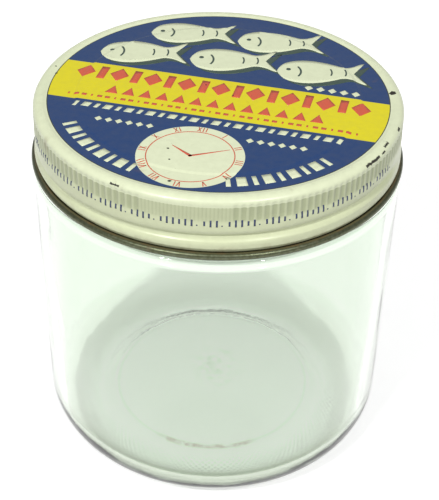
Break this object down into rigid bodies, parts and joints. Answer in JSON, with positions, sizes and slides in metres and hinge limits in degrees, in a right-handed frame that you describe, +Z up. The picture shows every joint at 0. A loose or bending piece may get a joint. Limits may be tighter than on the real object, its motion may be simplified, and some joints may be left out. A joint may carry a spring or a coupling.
{
  "type": "glass jar",
  "caption": "Wide-mouth clear glass jar with a pressed tinplate screw lid, lacquered and printed, for storing food.",
  "frame": {"origin": "centre of the jar's foot, on the plane it stands on", "axes": "+Z up along the jar's axis; -Y is the front, where the print reads; +X to the right"},
  "size_m": [0.092, 0.092, 0.097],
  "materials": {
    "pale_green_glass": "clear glass with a faint green tint, glossy, a few scratches",
    "lacquered_tinplate": "cream lacquer with printed blue, yellow and red fields, satin gloss, chipped and rust-specked",
    "bare_tinplate": "dull dark tinplate of the rolled edge and the inside of the lid"
  },
  "bodies": {
    "root": {"jar": "pale_green_glass", "lid": "lacquered_tinplate"}
  },
  "joints": []
}
